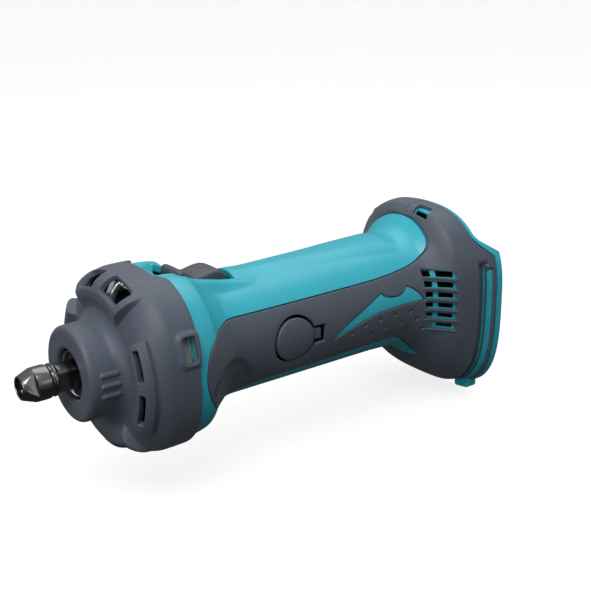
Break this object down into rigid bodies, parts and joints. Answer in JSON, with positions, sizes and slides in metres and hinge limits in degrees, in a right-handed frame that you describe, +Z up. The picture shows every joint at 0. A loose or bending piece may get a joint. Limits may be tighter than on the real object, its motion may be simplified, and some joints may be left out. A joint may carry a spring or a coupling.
{
  "type": "die grinder",
  "caption": "Straight hand-held grinder with a collet nose, round vented head, barrel grip, slide switch on top and a flared end that takes a slide-on battery.",
  "frame": {"origin": "on the spindle axis, at the rear face of the battery terminal block", "axes": "+X along the spindle towards the battery, -X at the work, +Z up through the slide switch, -Y to the tool's left side"},
  "size_m": [0.2386, 0.081, 0.0982],
  "materials": {
    "teal_plastic": "fine satin moulding",
    "grey_rubber": "matt soft overmould",
    "dark_plastic": "satin moulding",
    "black_plastic": "matt moulding",
    "black_rubber": "matt",
    "cast_aluminium": "die-cast, machined seats",
    "steel": "ground",
    "burnished_steel": "dark burnished, polished cone",
    "plated_iron": "zinc plated and laminated",
    "copper": "enamelled wire and turned bars",
    "brass": "stamped",
    "carbon": "pressed carbon",
    "ferrite": "sintered, matt",
    "circuit_board": "solder mask",
    "red_insulation": "smooth insulation",
    "black_insulation": "smooth insulation"
  },
  "bodies": {
    "housing": {"battery_cushion": "black_rubber", "bearing_box": "cast_aluminium", "bearing_retainer": "steel", "bearing_sleeve": "black_rubber", "bearing_web": "black_plastic", "brush_cap_left": "black_plastic", "brush_cap_right": "black_plastic", "brush_cover_left": "grey_rubber", "brush_cover_right": "grey_rubber", "brush_holder_left": "brass", "brush_holder_right": "brass", "brush_spring_left": "steel", "brush_spring_right": "steel", "control_board": "circuit_board", "fan_baffle": "dark_plastic", "front_bearing_outer": "steel", "front_cover": "grey_rubber", "grip_left": "grey_rubber", "grip_right": "grey_rubber", "head_screw_1": "steel", "head_screw_2": "steel", "head_screw_3": "steel", "head_screw_4": "steel", "housing_left": "teal_plastic", "housing_right": "teal_plastic", "housing_screw_1": "steel", "housing_screw_2": "steel", "housing_screw_3": "steel", "housing_screw_4": "steel", "housing_screw_5": "steel", "lead_negative": "black_insulation", "lead_positive": "red_insulation", "magnet_left": "ferrite", "magnet_right": "ferrite", "motor_lead_left": "black_insulation", "motor_lead_right": "red_insulation", "motor_yoke": "plated_iron", "rear_bearing_outer": "steel", "switch_unit": "black_plastic", "terminal_block": "black_plastic", "terminal_negative": "brass", "terminal_positive": "brass", "terminal_signal": "brass"},
    "rotor": {"spindle": "burnished_steel", "armature_core": "plated_iron", "armature_winding": "copper", "commutator": "copper", "cooling_fan": "dark_plastic", "front_bearing_inner": "steel", "rear_bearing_inner": "steel", "dust_washer": "black_rubber"},
    "collet": {"collet": "steel"},
    "collet_nut": {"collet_nut": "burnished_steel"},
    "switch_carriage": {"switch_carriage": "black_plastic"},
    "switch_knob": {"switch_knob": "dark_plastic"},
    "carbon_brush_left": {"carbon_brush_left": "carbon"},
    "carbon_brush_right": {"carbon_brush_right": "carbon"}
  },
  "joints": [
    {"name": "spindle_spin", "type": "hinge", "parent": "housing", "child": "rotor", "pos_m": [0, 0, 0], "axis": [1, 0, 0], "continuous": true},
    {"name": "collet_release", "type": "slide", "parent": "rotor", "child": "collet", "axis": [-1, 0, 0], "range_m": [0, 0.00125]},
    {"name": "collet_nut_turn", "type": "hinge", "parent": "collet", "child": "collet_nut", "pos_m": [0, 0, 0], "axis": [-1, 0, 0], "range_deg": [0, 360]},
    {"name": "switch_slide", "type": "slide", "parent": "housing", "child": "switch_carriage", "axis": [-1, 0, 0], "range_m": [0, 0.006]},
    {"name": "switch_rock", "type": "hinge", "parent": "switch_carriage", "child": "switch_knob", "pos_m": [-0.1518, 0, 0.0286], "axis": [0, -1, 0], "range_deg": [0, 4]},
    {"name": "brush_left_feed", "type": "slide", "parent": "housing", "child": "carbon_brush_left", "axis": [0, -1, 0], "range_m": [0, 0.0015]},
    {"name": "brush_right_feed", "type": "slide", "parent": "housing", "child": "carbon_brush_right", "axis": [0, 1, 0], "range_m": [0, 0.0015]}
  ],
  "couplings": [
    {"joint": "collet_release", "follows": "collet_nut_turn", "m_per_rad": 0.0001989}
  ]
}
